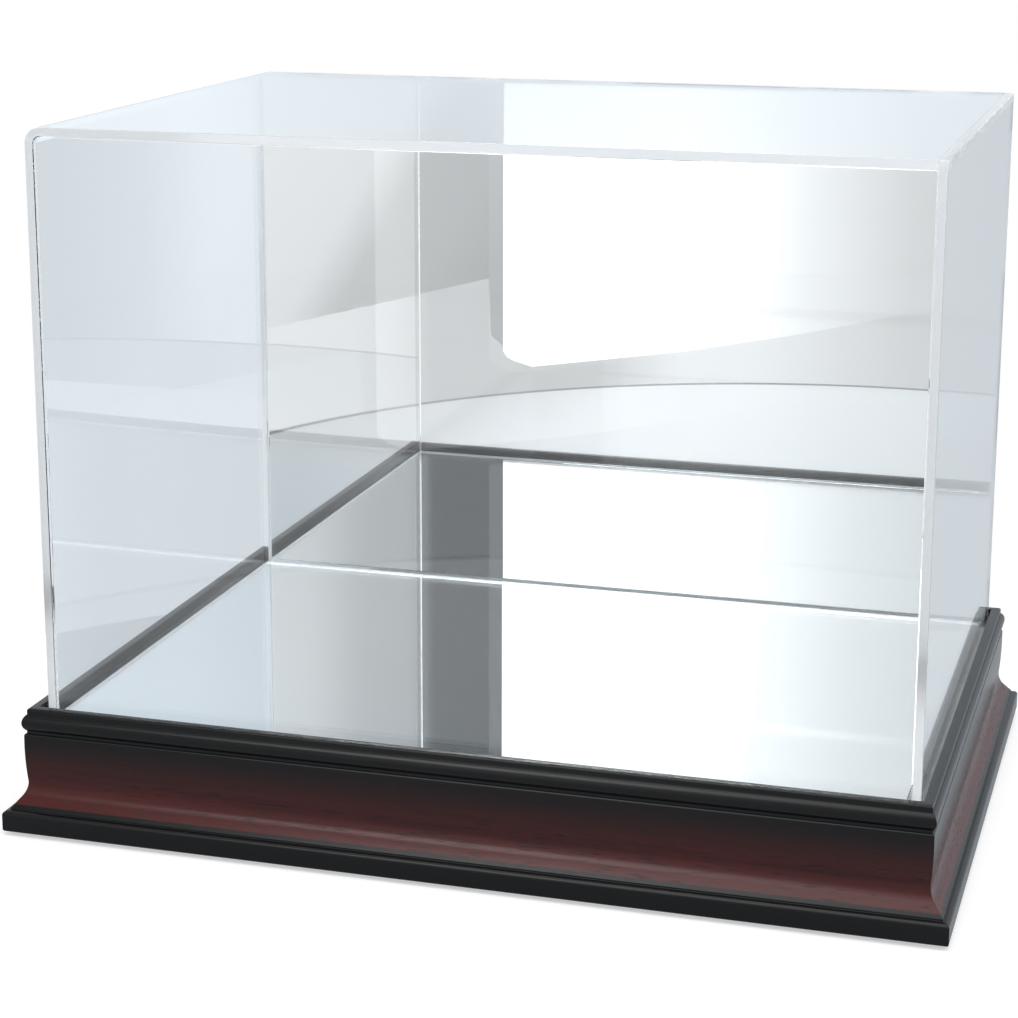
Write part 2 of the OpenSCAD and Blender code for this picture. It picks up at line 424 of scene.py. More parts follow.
@dataclass(frozen=True)
class Silvering(Finish):
    """Silvering on one face and grey backing paint on the others.

    The lean is the face's rise per metre along X and Z.
    """

    side: MirrorSide = MirrorSide.TOP
    lean: Point = (0.0, 0.0)
    silver: Colour = (0.90, 0.915, 0.92)
    paint: Colour = (0.27, 0.285, 0.30)
    pale_paint: Colour = (0.3375, 0.35625, 0.375)

    def surface(self, graph: Graph) -> Value:
        """Builds the finish's shader.

        Args:
            graph: the material's graph.

        Returns:
            The shader.
        """
        silvered = graph.facing(self.side.value) > 0.5
        brushed = graph.noise(35.0, detail=4.0, roughness=0.65)
        paint = graph.blend(brushed, self.paint, self.pale_paint)
        others: Inputs = {"Metallic": silvered}
        if any(self.lean):
            height = graph.dot(graph.place(), (self.lean[0], 0.0, self.lean[1]))
            others["Normal"] = graph.bump(height, distance=1.0)
        rough = (1.0 - silvered) * (0.42 + brushed * 0.2)
        return graph.principled(graph.blend(silvered, paint, self.silver), rough, others)


@dataclass(frozen=True)
class Fibreboard(Finish):
    """Fibreboard, painted white but for its raw underside."""

    light: Colour = (0.36, 0.235, 0.135)
    dark: Colour = (0.22, 0.135, 0.072)
    paint: Colour = (0.80, 0.81, 0.80)

    def surface(self, graph: Graph) -> Value:
        """Builds the finish's shader.

        Args:
            graph: the material's graph.

        Returns:
            The shader.
        """
        fibres = graph.noise(900.0, detail=5.0, roughness=0.7)
        mottle = graph.noise(45.0, detail=3.0)
        tone = (fibres * 0.7 + mottle * 0.3).rise(0.3, 0.7)
        painted = graph.facing(UP) > -0.5
        colour = graph.blend(painted, graph.blend(tone, self.dark, self.light), self.paint)
        rough = 0.8 + (fibres - 0.5) * 0.2 - painted * 0.25
        normal = graph.bump(fibres, distance=0.06 * MM, strength=0.7)
        return graph.principled(colour, rough, {"Normal": normal})


@dataclass(frozen=True)
class BrightSteel(Finish):
    """Bright drawn steel with faint lengthwise scratches."""

    colour: Colour = (0.56, 0.57, 0.58)
    dull: Colour = (0.392, 0.399, 0.406)

    def surface(self, graph: Graph) -> Value:
        """Builds the finish's shader.

        Args:
            graph: the material's graph.

        Returns:
            The shader.
        """
        drawn = graph.noise((3500.0, 3500.0, 160.0), detail=3.0, roughness=0.6)
        stain = graph.noise(300.0, detail=2.0).rise(0.4, 0.75)
        others = {"Metallic": 1.0, "Normal": graph.bump(drawn, distance=0.01 * MM, strength=0.5)}
        return graph.principled(graph.blend(stain, self.colour, self.dull), 0.26 + drawn * 0.2, others)


@dataclass(frozen=True)
class PressedFelt(Finish):
    """Black pressed felt with matted fibres."""

    light: Colour = (0.040, 0.040, 0.044)
    dark: Colour = (0.012, 0.012, 0.014)

    def surface(self, graph: Graph) -> Value:
        """Builds the finish's shader.

        Args:
            graph: the material's graph.

        Returns:
            The shader.
        """
        fibres = graph.noise(2600.0, detail=5.0, roughness=0.75)
        matted = graph.noise((420.0, 420.0, 900.0), detail=3.0)
        colour = graph.blend(fibres.rise(0.35, 0.7), self.dark, self.light)
        nap = graph.bump(fibres * 0.6 + matted * 0.4, distance=0.25 * MM, strength=0.8)
        others = {"Sheen Weight": 0.4, "Sheen Roughness": 0.5, "Normal": nap}
        return graph.principled(colour, 0.9 + (matted - 0.5) * 0.1, others)


@dataclass(frozen=True)
class FoamTape(Finish):
    """White closed-cell foam tape with its fine cells at the cut sides."""

    colour: Colour = (0.80, 0.80, 0.76)
    shade: Colour = (0.62, 0.62, 0.58)
    cells_per_m: float = 2800.0

    def surface(self, graph: Graph) -> Value:
        """Builds the finish's shader.

        Args:
            graph: the material's graph.

        Returns:
            The shader.
        """
        inputs = {"Vector": graph.stretched((self.cells_per_m,) * 3), "Scale": 1.0}
        cells = graph.node("ShaderNodeTexVoronoi", {}, inputs, "Distance")
        colour = graph.blend(cells.rise(0.2, 0.7), self.shade, self.colour)
        others = {"Normal": graph.bump(cells, distance=0.08 * MM, strength=0.6)}
        return graph.principled(colour, 0.6 + cells * 0.15, others)


# Outlines and meshes


def arc(centre: Point, radius: float, start: float, end: float, step: float = 4.0) -> list[Point]:
    """Points of an arc.

    Args:
        centre: the arc's centre.
        radius: its radius.
        start: the first point's angle in degrees.
        end: the last point's angle in degrees.
        step: the most degrees between two points.

    Returns:
        The points, first and last included.
    """
    count = max(1, math.ceil(abs(end - start) / step))
    angles = [math.radians(start + (end - start) * i / count) for i in range(count + 1)]
    return [(centre[0] + radius * math.cos(a), centre[1] + radius * math.sin(a)) for a in angles]


def rectangle(left: float, near: float, right: float, far: float) -> list[Point]:
    """A rectangle's corners, anticlockwise from the near left one."""
    return [(left, near), (right, near), (right, far), (left, far)]


def rounded(outline: Sequence[Point], radius: float, sharp: float = 25.0) -> list[Point]:
    """Rounds the sharp corners of a closed outline.

    Args:
        outline: the corners in order.
        radius: the radius of each rounding, made smaller where an edge is too short for it.
        sharp: corners that turn by less than this many degrees are left alone.

    Returns:
        The new outline.
    """
    made: list[Point] = []
    count = len(outline)
    for i, corner in enumerate(outline):
        here = Vector(corner)
        back = Vector(outline[i - 1]) - here
        on = Vector(outline[(i + 1) % count]) - here
        turn = math.pi - back.angle(on)
        if math.degrees(turn) < sharp:
            made.append(corner)
            continue
        reach = min(radius * math.tan(turn / 2), 0.45 * back.length, 0.45 * on.length)
        first = here + back.normalized() * reach
        last = here + on.normalized() * reach
        steps = max(2, round(math.degrees(turn) / 15.0))
        for k in range(steps + 1):
            t = k / steps
            bent = first * (1 - t) ** 2 + here * (2 * t * (1 - t)) + last * t**2
            made.append((bent.x, bent.y))
    return made


def offset(outline: Sequence[Point], by: float) -> list[Point]:
    """Draws a closed anticlockwise outline in by a distance.

    Args:
        outline: the points.
        by: the distance.

    Returns:
        The new points.
    """
    made: list[Point] = []
    count = len(outline)
    for i, corner in enumerate(outline):
        here = Vector(corner)
        before = (here - Vector(outline[i - 1])).normalized()
        along = before + (Vector(outline[(i + 1) % count]) - here).normalized()
        moved = here + Vector((-along.y, along.x)).normalized() * by
        made.append((moved.x, moved.y))
    return made


def upright(outline: Iterable[Point], y: float) -> list[Vector]:
    """Stands a flat outline of (x, z) points up at the depth y."""
    return [Vector((x, y, z)) for x, z in outline]


def level(outline: Iterable[Point], z: float) -> list[Vector]:
    """Lays a flat outline of (x, y) points at the height z."""
    return [Vector((x, y, z)) for x, y in outline]


class Solids:
    """Collects closed solids, each joined up from rings of points, into one piece."""

    def __init__(self) -> None:
        """Starts without a solid."""
        self.points: list[Vector] = []
        self.faces: list[Sequence[int]] = []

    def add(self, rings: Sequence[Ring]) -> None:
        """Adds one solid, with a face each over its first and last rings.

        Args:
            rings: rings with the same number of points.
        """
        size = len(rings[0])
        start = len(self.points)
        for r in range(len(rings) - 1):
            low = start + r * size
            for i in range(size):
                j = (i + 1) % size
                self.faces.append((low + i, low + j, low + size + j, low + size + i))
        last = start + (len(rings) - 1) * size
        self.faces.append(tuple(reversed(range(start, start + size))))
        self.faces.append(tuple(range(last, last + size)))
        for ring in rings:
            self.points.extend(ring)

    def piece(self, name: str, smooth: float = 30.0) -> Object:
        """Makes the solids into one smooth-shaded piece with outward normals.

        Args:
            name: the piece's name.
            smooth: edges that turn by more than this many degrees stay sharp.

        Returns:
            The piece.
        """
        mesh = bpy.data.meshes.new(name)
        mesh.from_pydata([tuple(p) for p in self.points], [], self.faces)
        mesh.validate()
        outward(mesh)
        mesh.shade_smooth()
        mesh.set_sharp_from_angle(angle=math.radians(smooth))
        return linked(name, mesh)


def linked(name: str, data: bpy.types.ID) -> Object:
    """Makes an object of some data in the scene.

    Args:
        name: the object's name.
        data: its mesh, lamp or camera.

    Returns:
        The object.
    """
    made = bpy.data.objects.new(name, data)
    bpy.context.scene.collection.objects.link(made)
    return made


def loft(name: str, rings: Sequence[Ring]) -> Object:
    """Joins closed rings of points into a piece.

    Args:
        name: the piece's name.
        rings: rings with the same number of points.

    Returns:
        The piece.
    """
    solids = Solids()
    solids.add(rings)
    return solids.piece(name)


def outward(mesh: Mesh) -> None:
    """Turns a closed mesh inside out if its faces look inwards.

    Args:
        mesh: the mesh.
    """
    volume = 0.0
    mesh.calc_loop_triangles()
    for triangle in mesh.loop_triangles:
        a, b, c = (mesh.vertices[v].co for v in triangle.vertices)
        volume += a.dot(b.cross(c))
    if volume < 0:
        mesh.flip_normals()


def chamfered(name: str, rim: Rim, span: Point, axis: Vector, chamfer: float) -> Object:
    """A flat plate whose two faces meet its rim in small chamfers.

    Args:
        name: the piece's name.
        rim: gives the rim's points, drawn in by a distance.
        span: where the plate starts and ends along the axis.
        axis: the direction through the plate.
        chamfer: the chamfers' size.

    Returns:
        The plate.
    """
    start, end = span
    steps = ((chamfer, start), (0.0, start + chamfer), (0.0, end - chamfer), (chamfer, end))
    return loft(name, [[p + axis * at for p in rim(by)] for by, at in steps])


@dataclass(frozen=True)
class Outline:
    """An upright outline whose top left corner is round and whose other corners are square."""

    left: float
    right: float
    foot: float
    top: float
    radius: float
    least_radius: float = 0.05 * MM

    def shrunk(self, by: float) -> "Outline":
        """The same outline, smaller by this much all round."""
        radius = max(self.radius - by, self.least_radius)
        return Outline(self.left + by, self.right - by, self.foot + by, self.top - by, radius)

    def points(self) -> list[Point]:
        """The outline from the lower left, over the top, to the lower right."""
        bend = arc((self.left + self.radius, self.top - self.radius), self.radius, 180.0, 90.0)
        return [(self.left, self.foot), *bend, (self.right, self.top), (self.right, self.foot)]

    def rim(self, by: float) -> list[Vector]:
        """The outline's points, standing up at depth 0 and drawn in by a distance."""
        return upright(self.shrunk(by).points(), 0.0)


# Pieces


# How much of an axis a face's normal has, at least, where it looks along the axis, leans mostly
# along it, or slants to it.
SQUARE = 0.9
MOSTLY = 0.7
SLANTED = 0.3


class Face(Enum):
    """How a face of the cover's sheets is finished, as the number of its material."""

    POLISHED = 0
    CUT = 1
    GLUED = 2
    SCRAPED = 3
    DRESSED = 4


class MirrorFace(Enum):
    """How a face of a mirror's clear layer is finished, as the number of its material."""

    POLISHED = 0
    CUT = 1
    SAWN = 2


CLEAR = ClearSheet("polished_acrylic")
FLOOR_SHEET = ClearSheet("floor_mirror_acrylic", tint=(0.970, 0.988, 1.0))
CUT_EDGE = ClearSheet("cut_acrylic_edge", haze=0.3, frost=0.2)
DRESSED_EDGE = ClearSheet("dressed_acrylic_edge", tint=(0.955, 0.972, 0.990), haze=0.3, frost=0.12)
SAWN_EDGE = ClearSheet("sawn_acrylic_edge", haze=0.5, frost=0.5)
SCRAPED_EDGE = ClearSheet("scraped_acrylic_edge", haze=0.4, frost=0.45)
CEMENT = Cement("cemented_joint")


def dress(piece: Object, *materials: Material) -> None:
    """Puts materials in a piece's slots.

    Args:
        piece: the piece.
        materials: the materials, first to last.
    """
    slots = piece.data.materials
    slots.clear()
    for material in materials:
        slots.append(material)


def paint_faces(piece: Object, kind: Callable[[Vector, Vector], Enum]) -> None:
    """Gives each face of a sheet the material that its middle and normal call for."""
    for face in piece.data.polygons:
        face.material_index = kind(face.center, face.normal).value


@dataclass
class Assembly:
    """A group of pieces that ride on one body."""

    body: str

    def add(self, piece: Object, slot: str, node: str) -> None:
        """Puts a finished piece on the body, in the place of a CAD node.

        Args:
            piece: the piece.
            slot: the record's material slot; not used.
            node: the CAD node that it stands for.
        """
        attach(piece, self.body)
        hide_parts(node)
        LOG.info("%s: %d faces on %s", piece.name, len(piece.data.polygons), self.body)

    def add_clear(self, piece: Object, node: str) -> None:
        """Puts a clear sheet on the body, and lets scattered light through as its shadows do."""
        piece.visible_diffuse = False
        self.add(piece, "clear_sheet", node)

    def keep(self, node: str, finish: Finish) -> None:
        """Dresses a CAD node that stays as it is in a finish."""
        dress(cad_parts[node], finish.make())
        LOG.info("%s: CAD node in %s", node, finish.name)


@dataclass
class Moulding:
    """The section of the base moulding. Reaches count from the rim's inner face, heights from its foot."""

    stock_in: float = 9.6 * MM
    plinth_h: float = 8.5 * MM
    plinth_ledge: float = 2.6 * MM
    plinth_top_r: float = 1.8 * MM
    plinth_foot_r: float = 1.1 * MM
    shoulder_step: float = 0.75 * MM
    shoulder_run: float = 3.3 * MM
    cove_r: float = 9.0 * MM
    cove_turn: float = 40.5
    face_h: float = 19.9 * MM
    face_out: float = 5.15 * MM
    face_r: float = 150.0 * MM
    face_crown: float = 15.0 * MM
    face_top_r: float = 0.9 * MM
    quirk_h: float = 1.05 * MM
    quirk_out: float = 4.2 * MM
    bead_out: float = 5.75 * MM
    bead_r: float = 4.2 * MM
    rim_ledge: float = 0.3 * MM
    rim_out: float = 4.0 * MM
    rim_h: float = 2.6 * MM
    rim_round_r: float = 1.0 * MM
    lip_round_r: float = 0.4 * MM
    ledge_drop: float = 12.3 * MM
    edge_r: float = 0.3 * MM

    def face_reach(self, z: float) -> float:
        """Reach of the crowned face at a height above the moulding's foot."""
        above = z - self.neck_z - self.face_crown
        return self.face_out - self.face_r + math.sqrt(self.face_r**2 - above**2)

    @property
    def neck_out(self) -> float:
        """Reach of the neck, where the cove runs into the face."""
        return self.face_out - self.face_r + math.sqrt(self.face_r**2 - self.face_crown**2)

    @property
    def shoulder_out(self) -> float:
        """Reach of the shoulder's edge over the plinth."""
        turned = 1 - math.cos(math.radians(self.cove_turn))
        return self.neck_out + self.cove_r * turned + self.shoulder_run

    @property
    def plinth_out(self) -> float:
        """Reach of the plinth."""
        return self.shoulder_out + self.plinth_ledge

    @property
    def neck_z(self) -> float:
        """Works out the height of the neck.

        Returns:
            The height above the moulding's foot.
        """
        turn = math.radians(self.cove_turn)
        slope = self.shoulder_run / math.tan(turn)
        return self.plinth_h + self.shoulder_step + slope + self.cove_r * math.sin(turn)

    def bead_angle(self, reach: float) -> float:
        """The angle in degrees at which the bead passes a reach."""
        return math.degrees(math.acos((reach - self.bead_out + self.bead_r) / self.bead_r))

    def outline(self) -> list[Point]:
        """The section's outline.

        Returns:
            The (reach, height) points, anticlockwise from the inner foot.
        """
        face_top = self.neck_z + self.face_h
        edge_z = face_top - self.face_top_r
        low = self.bead_angle(self.quirk_out)
        high = self.bead_angle(self.rim_out + self.rim_ledge)
        bead_z = face_top + self.quirk_h + self.bead_r * math.sin(math.radians(low))
        bead_mid = (self.bead_out - self.bead_r, bead_z)
        rim_foot = bead_z + self.bead_r * math.sin(math.radians(high))
        top = rim_foot + self.rim_h
        ledge = top - self.ledge_drop
        foot_mid = (self.plinth_out - self.plinth_foot_r, self.plinth_foot_r)
        plinth_mid = (self.plinth_out - self.plinth_top_r, self.plinth_h - self.plinth_top_r)
        cove_mid = (self.neck_out + self.cove_r, self.neck_z)
        edge_mid = (self.face_reach(edge_z) - self.face_top_r, edge_z)
        rim_mid = (self.rim_out - self.rim_round_r, top - self.rim_round_r)
        lip_mid = (self.lip_round_r, top - self.lip_round_r)
        steps = 16
        crown = [self.neck_z + (edge_z - self.neck_z) * i / steps for i in range(1, steps)]
        outline = [
            (-self.stock_in, 0.0),
            *arc(foot_mid, self.plinth_foot_r, -90.0, 0.0, step=10.0),
            *arc(plinth_mid, self.plinth_top_r, 0.0, 90.0, step=6.0),
            (self.shoulder_out, self.plinth_h),
            (self.shoulder_out, self.plinth_h + self.shoulder_step),
            *arc(cove_mid, self.cove_r, 180.0 + self.cove_turn, 180.0, step=2.5),
            *[(self.face_reach(z), z) for z in crown],
            *arc(edge_mid, self.face_top_r, 0.0, 90.0, step=9.0),
            *arc(bead_mid, self.bead_r, -low, high),
            (self.rim_out, rim_foot),
            *arc(rim_mid, self.rim_round_r, 0.0, 90.0, step=9.0),
            *arc(lip_mid, self.lip_round_r, 90.0, 180.0, step=15.0),
            (0.0, ledge),
            (-self.stock_in, ledge),
        ]
        return rounded(outline, self.edge_r)


@dataclass
class MouldedBase(Assembly):
    """Four mitred rails, with the board, its pins, the V-nails and the felt pads."""

    moulding: Moulding = field(default_factory=Moulding)
    mitre_gap: float = 0.03 * MM
    mitre_round: float = 0.14 * MM
    pad_r: float = 7.0 * MM
    pad_fuzz: float = 0.012
    pad_waves: int = 7
    pad_sides: int = 56
    # Shares of a pad's radius, each with its share of the height.
    pad_steps: tuple[Point, ...] = ((0.94, 0.0), (1.0, 0.22), (1.0, 0.7), (0.97, 0.93), (0.9, 1.0))
    foot: float = field(init=False)

    def build(self) -> None:
        """Builds and dresses every piece of the base."""
        low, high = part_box("front_rail")
        self.foot = low.z
        rim_x = high.x - self.moulding.plinth_out
        rim_y = -low.y - self.moulding.plinth_out
        along_x = Lacquer("lacquered_moulding_long", Grain.ALONG_X).make()
        along_y = Lacquer("lacquered_moulding_short", Grain.ALONG_Y).make()
        self.rail("front_rail", 0.0, (rim_x, rim_y), along_x)
        self.rail("back_rail", math.pi, (rim_x, rim_y), along_x)
        self.rail("left_rail", -math.pi / 2, (rim_y, rim_x), along_y)
        self.rail("right_rail", math.pi / 2, (rim_y, rim_x), along_y)
        self.keep("base_board", Fibreboard("raw_fibreboard"))
        self.keep("board_pins", BrightSteel("bright_steel_pins"))
        self.keep("corner_v_nails", BrightSteel("bright_steel_nails"))
        self.pads()

    def rail(self, node: str, turn: float, rim: Point, finish: Material) -> None:
        """Builds one mitred rail, with the edges of its mitres rounded over.

        Args:
            node: the CAD node that it stands for.
            turn: how far it is turned from the front of the base, in radians.
            rim: half the length of the rim's inner edge, and its distance from the middle.
            finish: its material.
        """
        outline = self.moulding.outline()
        drawn_in = offset(outline, self.mitre_round)
        inner = self.mitre_gap + self.mitre_round
        ends = ((-1, drawn_in, self.mitre_gap), (-1, outline, inner))
        ends += ((1, outline, inner), (1, drawn_in, self.mitre_gap))
        rings = [self.ring(section, side, rim, short) for side, section, short in ends]
        cos, sin = math.cos(turn), math.sin(turn)
        for ring in rings:
            for p in ring:
                p.x, p.y = p.x * cos - p.y * sin, p.x * sin + p.y * cos
        piece = loft(f"{node}_moulding", rings)
        dress(piece, finish)
        self.add(piece, "lacquered_moulding", node)

    def ring(self, section: Sequence[Point], side: int, rim: Point, short: float) -> list[Vector]:
        """The section at the left (-1) or right (1) end of a front rail, this short of the mitre."""
        half, off = rim[0] - short, rim[1]
        return [Vector((side * (half + o), -off - o, self.foot + z)) for o, z in section]

    def pads(self) -> None:
        """Builds the four felt pads as one piece, each a pressed disc with a soft edge."""
        low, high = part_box("felt_pads")
        solids = Solids()
        for x, y in ((-1, -1), (-1, 1), (1, -1), (1, 1)):
            middle = (x * (high.x - self.pad_r), y * (high.y - self.pad_r))
            outlines = (self.pad_outline(middle, share, 3 * rise + x) for share, rise in self.pad_steps)
            heights = (low.z + (high.z - low.z) * rise for _, rise in self.pad_steps)
            solids.add([level(outline, z) for outline, z in zip(outlines, heights)])
        piece = solids.piece("pressed_felt_pads", smooth=50.0)
        dress(piece, PressedFelt("pressed_felt").make())
        self.add(piece, "felt", "felt_pads")

    def pad_outline(self, middle: Point, share: float, lag: float) -> list[Point]:
        """A pad's slightly uneven outline.

        Args:
            middle: the pad's middle.
            share: the outline's share of the pad's radius.
            lag: how far its waves are shifted, in radians.

        Returns:
            The points.
        """
        points = []
        for k in range(self.pad_sides):
            turn = 2 * math.pi * k / self.pad_sides
            wave = 0.5 + 0.5 * math.sin(self.pad_waves * turn + lag)
            reach = self.pad_r * share * (1.0 - self.pad_fuzz * wave)
            points.append((middle[0] + reach * math.cos(turn), middle[1] + reach * math.sin(turn)))
        return points


@dataclass
class MirrorAssembly(Assembly):
    """A clear sheet with its silvering bonded behind it, on four strips of tape."""

    chamfer: float = 0.2 * MM
    bond: float = 0.04 * MM
    squeeze: float = 0.24 * MM
    tape_round: float = 0.8 * MM
    tape_size: Point = (60.0 * MM, 19.0 * MM)
    # Shares of the squeeze, each with its share of the tape's thickness, up the lower half of a side.
    tape_bulge: tuple[Point, ...] = ((1.0, 0.0), (0.3, 0.14), (0.0, 0.4))

    def sheet(self, name: str, rim: Rim, span: Point, axis: Vector, finish: ClearSheet) -> None:
        """Builds the clear layer, sawn at its two ends and cut along its two long edges.

        Args:
            name: the mirror's name, with which its CAD nodes' names start.
            rim: gives the rim's points, drawn in by a distance.
            span: where the layer starts and ends along the axis.
            axis: the direction through it.
            finish: the finish of its two faces.
        """
        piece = chamfered(f"{name}_clear_layer", rim, span, axis, self.chamfer)
        dress(piece, finish.make(), CUT_EDGE.make(), SAWN_EDGE.make())

        def kind(_middle: Vector, normal: Vector) -> MirrorFace:
            """Polished where a face looks along the axis, sawn where along X, and cut elsewhere."""
            edge = MirrorFace.SAWN if abs(normal.x) > MOSTLY else MirrorFace.CUT
            return MirrorFace.POLISHED if abs(normal.dot(axis)) > SLANTED else edge

        paint_faces(piece, kind)
        self.add_clear(piece, f"{name}_sheet")

    def strips(
        self,
        name: str,
        axes: tuple[int, int, int],
        lay: Callable[[Iterable[Point], float], list[Vector]],
    ) -> None:
        """Builds the four strips of tape, one in each corner of their CAD node's box.

        Args:
            name: the mirror's name, with which its CAD nodes' names start.
            axes: the numbers of the two axes that a strip lies along and of the one through it.
            lay: lays an outline flat at a distance along the third axis.
        """
        low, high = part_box(f"{name}_tapes")
        first, second, through = axes
        length, width = self.tape_size
        upper = tuple((share, 1.0 - rise) for share, rise in reversed(self.tape_bulge))
        solids = Solids()
        for left in (low[first], high[first] - length):
            for near in (low[second], high[second] - width):
                rings = []
                for share, rise in self.tape_bulge + upper:
                    by = self.squeeze * share
                    corners = rectangle(left + by, near + by, left + length - by, near + width - by)
                    at = low[through] + (high[through] - low[through]) * rise
                    rings.append(lay(rounded(corners, self.tape_round), at))
                solids.add(rings)
        piece = solids.piece(f"{name}_foam_tapes", smooth=40.0)
        dress(piece, FoamTape(f"{name}_foam_tapes").make())
        self.add(piece, "foam_tape", f"{name}_tapes")


@dataclass
class MirroredFloor(MirrorAssembly):
    """The floor mirror on its tape."""

    def build(self) -> None:
        """Builds and dresses the floor mirror and its tape."""
        low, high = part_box("floor_mirror_sheet")

        def rim(by: float) -> list[Vector]:
            """The mirror's rim, drawn in by a distance."""
            return level(rectangle(low.x + by, low.y + by, high.x - by, high.y - by), 0.0)

        span = (low.z - self.bond, high.z)
        self.sheet("floor_mirror", rim, span, Vector(UP), FLOOR_SHEET)
        self.keep("floor_mirror_silvering", Silvering("floor_silvering", MirrorSide.TOP))
        self.strips("floor_mirror", (0, 1, 2), level)


@dataclass
class MirroredBack(MirrorAssembly):
    """The back mirror on its tape, inside the cover."""

    bend_r: float = 2.1 * MM
    tape_size: Point = (19.0 * MM, 60.0 * MM)
    lean: Point = (0.00258, 0.00109)

    def build(self) -> None:
        """Builds and dresses the back mirror and its tape."""
        low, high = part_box("back_mirror_sheet")
        outline = Outline(low.x, high.x, low.z, high.z, self.bend_r)
        span = (low.y, high.y + self.bond)
        self.sheet("back_mirror", outline.rim, span, Vector((0.0, 1.0, 0.0)), CLEAR)
        silvering = Silvering("back_silvering", MirrorSide.FRONT, self.lean)
        self.keep("back_mirror_silvering", silvering)
        self.strips("back_mirror", (0, 2, 1), upright)


@dataclass
class ClearCover(Assembly):
    """The bent wrap, the right wall cemented to it, and the front and back panels between them."""

    sheet_t: float = 3.5 * MM
    bend_r: float = 2.8 * MM
    glue: float = 0.1 * MM
    foot_gap: float = 0.1 * MM
    edge: float = 0.25 * MM
    ripple: float = 0.02 * MM
    ripple_len: float = 41.0 * MM
    ripple_lag: float = 4.0 * MM
    scallop: float = 0.75 * MM
    scallop_len: float = 29.0 * MM
    slices: int = 96
    joint_x: float = field(init=False)
    half_depth: float = field(init=False)
    finishes: list[Material] = field(init=False)

    def build(self) -> None:
        """Builds and dresses the cover."""
        kinds = (CLEAR, CUT_EDGE, CEMENT, SCRAPED_EDGE, DRESSED_EDGE)
        self.finishes = [finish.make() for finish in kinds]
        low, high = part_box("cover_right_panel")
        self.joint_x = low.x
        self.half_depth = high.y
        self.run("cover_wrap", self.wrap_section)
        self.run("cover_right_panel", self.wall_section)
        self.panel("cover_front_panel")
        self.panel("cover_back_panel")

    def run(self, node: str, section: Callable[[Vector, Vector, float], list[Point]]) -> None:
        """Builds a sheet that runs from the front of the cover to its back.

        Args:
            node: the CAD node that it stands for.
            section: gives the sheet's section at a depth, from the corners of its box.
        """
        low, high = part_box(node)
        start, end = low.y + self.edge, high.y - self.edge
        seam = high.y - self.sheet_t
        between = [seam * (2 * i / self.slices - 1) for i in range(self.slices + 1)]
        rings = [upright(section(low, high, y), y) for y in (start, *between, end)]
        first = upright(offset(section(low, high, start), -self.edge), low.y)
        last = upright(offset(section(low, high, end), -self.edge), high.y)
        piece = loft(f"{node}_sheet", [first, *rings, last])
        dress(piece, *self.finishes)
        paint_faces(piece, lambda middle, normal: self.run_kind(low, high, middle, normal))
        self.add_clear(piece, node)

    def run_kind(self, low: Vector, high: Vector, middle: Vector, normal: Vector) -> Face:
        """Tells how a face of a sheet that runs from front to back is finished.

        Args:
            low: the lower corner of the sheet's box.
            high: the upper corner of it.
            middle: the middle of the face.
            normal: its normal.

        Returns:
            The finish.
        """
        if middle.z < low.z + 2 * self.foot_gap or abs(normal.y) > SQUARE:
            return Face.CUT
        inward = normal.x * middle.x + normal.z * (middle.z - (low.z + high.z) / 2) < 0.0
        if abs(normal.y) > SLANTED:
            return Face.GLUED if inward else Face.SCRAPED
        if inward and abs(middle.y) > high.y - self.sheet_t:
            return Face.GLUED
        at_joint = abs(middle.x - self.joint_x) < 2 * self.glue
        if at_joint and middle.z > high.z - self.sheet_t and abs(normal.x) > SQUARE:
            return Face.GLUED
        if middle.x < self.joint_x or normal.z < SLANTED:
            return Face.POLISHED
        return Face.SCRAPED if normal.x > SLANTED else Face.DRESSED

    def wrap_section(self, low: Vector, high: Vector, y: float) -> list[Point]:
        """The section of the left wall and top.

        Args:
            low: the lower corner of the sheet's box.
            high: the upper corner of it.
            y: the depth.

        Returns:
            The points, clockwise from the outer foot.
        """
        foot = low.z + self.foot_gap
        outer, inner = low.x, low.x + self.sheet_t
        centre = (inner + self.bend_r, high.z - self.sheet_t - self.bend_r)
        outside = self.bend(centre, self.bend_r + self.sheet_t, y)
        inside = self.bend(centre, self.bend_r, y + self.ripple_lag)
        end = [(high.x, high.z), (high.x, high.z - self.sheet_t)]
        return [(outer, foot), *outside, *end, *reversed(inside), (inner, foot)]

    def bend(self, centre: Point, radius: float, y: float) -> list[Point]:
        """One side of the heat bend at a depth, with the slight ripple of its heating.

        Args:
            centre: the bend's centre.
            radius: its radius.
            y: the depth.

        Returns:
            The points, from the wall to the top.
        """
        wave = 0.5 + 0.5 * math.sin(2 * math.pi * y / self.ripple_len)
        points = []
        for x, z in arc(centre, radius, 180.0, 90.0):
            turn = math.atan2(z - centre[1], x - centre[0])
            pull = self.ripple * wave * math.sin(2 * turn) ** 2 / radius
            points.append((x + (centre[0] - x) * pull, z + (centre[1] - z) * pull))
        return points

    def wall_section(self, low: Vector, high: Vector, y: float) -> list[Point]:
        """The right wall's section, with its hand-scraped outer top edge.

        Args:
            low: the lower corner of the sheet's box.
            high: the upper corner of it.
            y: the depth.

        Returns:
            The points, clockwise from the inner foot.
        """
        foot = low.z + self.foot_gap
        scraped = max(0.0, math.sin(2 * math.pi * y / self.scallop_len)) ** 2
        taken = self.edge * 0.6 + self.scallop * scraped
        inside = [(low.x, foot), (low.x, high.z - self.sheet_t), (low.x, high.z)]
        return [*inside, (high.x - taken, high.z), (high.x, high.z - taken), (high.x, foot)]

